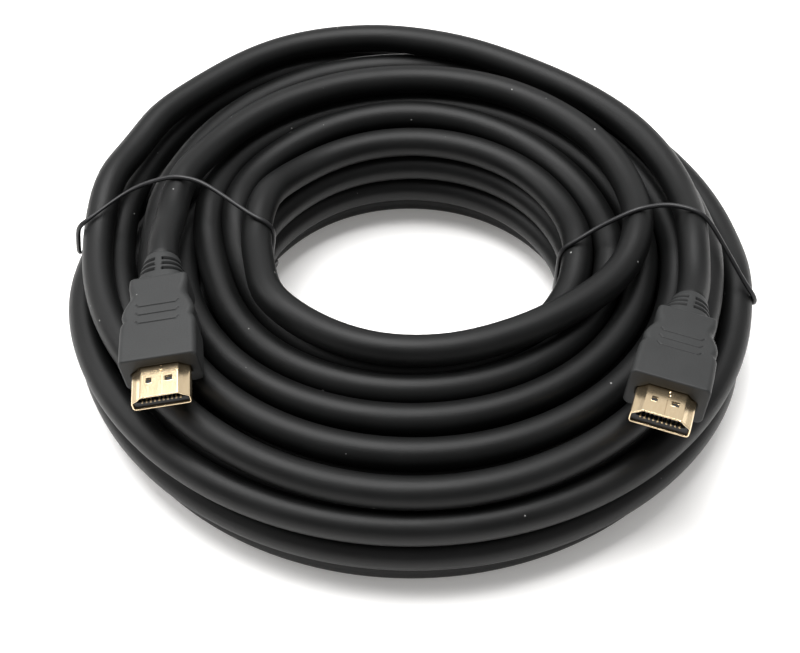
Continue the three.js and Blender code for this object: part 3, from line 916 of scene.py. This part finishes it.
def relief_body(side):
    """The strain relief: ovals that shrink towards the cable, cut by rows of slots to a core.

    An oval's points are (w C |C|^(e-1), h S |S|^(e-1)) for the cosine C and sine S."""
    marks = [0.0]
    for row in SLOT_ROWS:
        start, stop = row - SLOT_HALF, row + SLOT_HALF
        marks += [start - 2 * SLOT_EDGE, start, start + SLOT_EDGE]
        marks += [row, stop - SLOT_EDGE, stop, stop + 2 * SLOT_EDGE]
    marks += [RELIEF_LENGTH - off for off in (1.2, RELIEF_ROUND, 0.2, 0.06, 0.0)]
    backs = np.array([-1.5, -0.6, *marks])
    angle = np.linspace(0.0, 2 * np.pi, RELIEF_SIDES, endpoint=False)[None, :]
    share = np.clip(backs / RELIEF_LENGTH, 0.0, 1.0)[:, None]
    into_tip = np.clip((backs[:, None] - RELIEF_LENGTH + RELIEF_ROUND) / RELIEF_ROUND, 0.0, 1.0)
    shrink = RELIEF_ROUND * (1.0 - np.sqrt(1.0 - into_tip**2))
    width, height = (base + (RELIEF_TIP - base) * share - shrink for base in RELIEF_BASE)
    power = 0.78 + 0.22 * share
    c, s = np.cos(angle), np.sin(angle)
    x = width * np.sign(c) * np.abs(c) ** power
    z = height * np.sign(s) * np.abs(s) ** power
    in_slot = sum(np.abs(backs - row) < SLOT_HALF - SLOT_EDGE / 3 for row in SLOT_ROWS)
    beside_web = smoothstep((np.abs(x) - RELIEF_WEB) / 0.16)
    cut = in_slot[:, None] * beside_web
    scale = 1.0 - cut * (1.0 - RELIEF_CORE / np.hypot(x, z))
    y = np.broadcast_to(-BODY_LENGTH - backs[:, None], x.shape)
    points, faces, corners = skin(np.stack([x * scale, y, z * scale], axis=-1))
    # Painted shade: the slots are flagged to go black in the moulding's colour, though the core under them
    # is the same moulding.
    return placed(side, points), faces, shade_flagged(corners, cut)


# Shell
def shell_columns():
    """x of the points across the top, from the right, closer together round the seam."""
    flat = [np.linspace(-4.0, -3.2, 5), np.arange(-0.95, -0.05, 0.07), np.linspace(0.0, 4.0, 15)]
    edges = [*WINDOW_XS[0], *WINDOW_XS[1], SEAM_X, SEAM_X - SEAM_HALF, SEAM_X + SEAM_HALF, -2.45, 2.45]
    return np.array(sorted({*np.round(np.concatenate(flat), 3).tolist(), *edges}, reverse=True))


def shell_rows():
    """y of the rings, closer together round the pinholes."""
    mouth = SHELL_OUT - SHELL_LIP
    ends = [SEAM_YS[0], SEAM_YS[0] + SEAM_HALF, SEAM_YS[1], SEAM_YS[1] + SEAM_HALF, mouth]
    even_rows = np.arange(-SHELL_IN, mouth, 0.25)
    close_rows = np.arange(0.3, 2.5, 0.08)
    rings = {*np.round(even_rows, 3).tolist(), *np.round(close_rows, 3).tolist()}
    return np.array(sorted({*rings, *WINDOW_YS, *ends}))


def shell_points(side, flat, ys):
    """The outer skin's rings, the lip's ring and the inner skin's rings.

    The seam lowers the top by SEAM_DEPTH, and a pinhole lowers it by
    PINHOLE_DEPTH exp(-(distance / PINHOLE_REACH)^2)."""
    top = SHELL_HALF_HEIGHT
    right, left = (math.atan2(top, x) for x in (flat[0] + 0.15, flat[-1] - 0.15))
    turn = left + (2 * np.pi - left + right) * np.linspace(0.0, 1.0, 150)
    around = np.arctan2(np.sin(turn), np.cos(turn))

    def section(margin):
        angles = np.concatenate([np.arctan2(top + margin, flat), around])
        return outline_at(shell_outline(margin), angles)

    def rings(margin):
        x, z = section(margin)
        return np.stack(np.broadcast_arrays(x[None, :], ys[:, None], z[None, :]), axis=-1).copy()

    outside = rings(0.0)
    x, y, z = (outside[..., k] for k in range(3))
    on_top = z > top - 0.01
    in_seam = (np.abs(x - SEAM_X) < 0.01) & (y > SEAM_YS[0]) & (y < SEAM_YS[1] + 0.01)
    lower = SEAM_DEPTH * (in_seam & on_top)
    for hole_x, hole_y in PINHOLES[side]:
        lower = lower + PINHOLE_DEPTH * bump(np.hypot(x - hole_x, y - hole_y), 0.0, PINHOLE_REACH) * on_top
    outside[..., 2] -= lower
    lip_x, lip_z = section(-SHELL_WALL / 2)
    lip = np.stack([lip_x, np.full_like(lip_x, SHELL_OUT), lip_z], axis=-1)
    return np.concatenate([outside.reshape(-1, 3), lip, rings(-SHELL_WALL).reshape(-1, 3)])


def shell_body(side):
    """Folded sheet: an outer and an inner skin, joined at the rear, the mouth and two windows."""
    flat, ys = shell_columns(), shell_rows()
    points = shell_points(side, flat, ys)
    rows = len(ys)
    columns = len(points) // (2 * rows + 1)
    lip = rows * columns
    inner = lip + columns  # from a point of the outer skin to the one under it
    cells, places = grid_faces(rows, columns)

    in_y = (ys[:-1] >= WINDOW_YS[0]) & (ys[1:] <= WINDOW_YS[1])
    left, right = flat[1:], flat[:-1]
    in_x = sum((left > low - 0.001) & (right < high + 0.001) for low, high in WINDOW_XS) > 0
    window = np.zeros((rows - 1, columns), dtype=bool)
    window[:, : len(in_x)] = in_y[:, None] & in_x[None, :]
    sheet = ~window.ravel()

    here = np.arange(columns)
    beside = (here + 1) % columns
    last = (rows - 1) * columns
    faces = [
        cells[sheet],
        cells[sheet][:, ::-1] + inner,
        np.stack([here, here + inner, beside + inner, beside], axis=1),
        np.stack([last + here, last + beside, lip + beside, lip + here], axis=1),
        np.stack([lip + here, lip + beside, last + beside + inner, last + here + inner], axis=1),
    ]
    # A window's wall stands at each edge of a cell of it whose neighbour isn't one: the way to
    # the neighbour, then the edge's two ends as (row, column) from the cell's first corner.
    for way, start, end in (
        ((-1, 0), (0, 0), (0, 1)),
        ((1, 0), (1, 1), (1, 0)),
        ((0, -1), (1, 0), (0, 0)),
        ((0, 1), (0, 1), (1, 1)),
    ):
        neighbour = np.roll(window, (-way[0], -way[1]), axis=(0, 1))
        row, column = np.nonzero(window & ~neighbour)
        a, b = ((row + down) * columns + column + across for down, across in (start, end))
        faces.append(np.stack([a, a + inner, b + inner, b], axis=1))
    walls = np.vstack(faces[2:])
    at_walls = np.stack(np.broadcast_arrays(walls[:, :1] % columns, 0 * walls), axis=-1)
    corners = np.concatenate([places[sheet], places[sheet][:, ::-1], at_walls])
    return placed(side, points), np.vstack(faces).tolist(), corners.reshape(-1, 2).astype(float)


# Contacts
def contact_bodies(side):
    """The two rows of contacts: flat springs whose tips bow into the slot.

    A spring's distance from the slot's middle drops by BOW exp(-((y - BOW_AT) / BOW_REACH)^2)."""
    half_width, half_thickness = CONTACT_HALF
    across = np.array([-half_width, half_width, half_width, -half_width])[None, :]
    up = np.array([-half_thickness, -half_thickness, half_thickness, half_thickness])[None, :]
    run = np.linspace(0.0, 1.0, 13)
    parts = []
    for count, slot_side, front in CONTACT_ROWS.values():
        y = CONTACT_REAR + (front - CONTACT_REAR) * run
        z = SLOT_RAISE + slot_side * (SLOT_TO_CONTACT - BOW * bump(y, BOW_AT, BOW_REACH))
        for k in range(count):
            x = (k - (count - 1) / 2) * CONTACT_PITCH
            rings = np.stack(np.broadcast_arrays(x + across, y[:, None], z[:, None] + up), axis=-1)
            points, faces, corners = skin(rings)
            parts.append((placed(side, points), faces, corners))
    return joined(*parts)


def contact_nodes(side):
    rows = CONTACT_ROWS.items()
    return [f"contact_{side}_{row}_{k + 1:02d}" for row, (count, _, _) in rows for k in range(count)]


plug_pieces = []
for side in PLUGS:
    moulded = joined(grip_body(side), relief_body(side))
    grip = piece(f"grip_{side}", moulded, moulding, [f"overmould_{side}"])
    shell = piece(f"folded_shell_{side}", shell_body(side), gilt, [f"shell_{side}"])
    contacts = piece(f"contacts_{side}", contact_bodies(side), plated, contact_nodes(side))
    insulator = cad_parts[f"insulator_{side}"]
    for slot in insulator.material_slots:
        slot.material = insulating
    plug_pieces += [grip, shell, contacts, insulator]


# Ties
def hull(points):
    """Convex outline of points in a plane, counterclockwise."""
    ordered = sorted(map(tuple, points))

    def chain(sequence):
        kept = []
        for point in sequence:
            while len(kept) > 1:
                (ax, ay), (bx, by) = kept[-2:]
                if (bx - ax) * (point[1] - ay) - (by - ay) * (point[0] - ax) > 1e-9:
                    break
                kept.pop()
            kept.append(point)
        return kept[:-1]

    return np.array(chain(ordered) + chain(ordered[::-1]))


def tie_aside(side, out, height):
    """How far aside a tie runs: the lower run in its plane, the upper one where the strays say.

    Between them, aside + smoothstep((height - start) / over) (stray - aside)."""
    _, aside, strays = TIES[side]
    start, over = TIE_TURNS
    upper = smoothstep((height - start) / over)
    return aside + upper * (smooth_profile(strays, out, 1.2) - aside)


def tie_loop(side):
    """A taut loop round every strand that the tie crosses, as (distance out, height)."""
    local = route @ turned(2, -TIES[side][0]).T
    away = np.abs(local[:, 1] - tie_aside(side, local[:, 0], local[:, 2]))
    centres = local[(local[:, 0] > 0) & (away < TIE_CROSSED)][:, [0, 2]]
    angle = np.linspace(0.0, 2 * np.pi, 24, endpoint=False)
    ring = np.stack([np.cos(angle), np.sin(angle)], axis=-1) * (CABLE_D / 2 + TIE_D / 2 + TIE_PLAY)
    around = (centres[:, None, :] + ring[None, :, :]).reshape(-1, 2)
    around[:, 1] = np.maximum(around[:, 1], TIE_D / 2)
    return hull(around)


def tie_body(side):
    """Round wire along the loop. Its upper run strays to the sides of the loop's plane."""
    loop = tie_loop(side)
    closed = np.vstack([loop, loop[:1]])
    flat = np.stack([closed[:, 0], 0 * closed[:, 0], closed[:, 1]], axis=1)
    way = even(flat, TIE_STEP)[:-1]
    way[:, 1] = tie_aside(side, way[:, 0], way[:, 2])
    for _ in range(4):
        way = 0.25 * np.roll(way, 1, axis=0) + 0.5 * way + 0.25 * np.roll(way, -1, axis=0)
    rings = closed_tube_rings(way, TIE_D / 2, TIE_SIDES)
    points, faces, corners = skin(rings, poles=False, close_rows=True)
    return points @ turned(2, TIES[side][0]).T, faces, corners


tie_pieces = [
    piece(f"wire_tie_{side}", tie_body(side), coated, [f"tie_{side}"]) for side in TIES
]

tuple(relief_exit("left", 0.0) * MM)
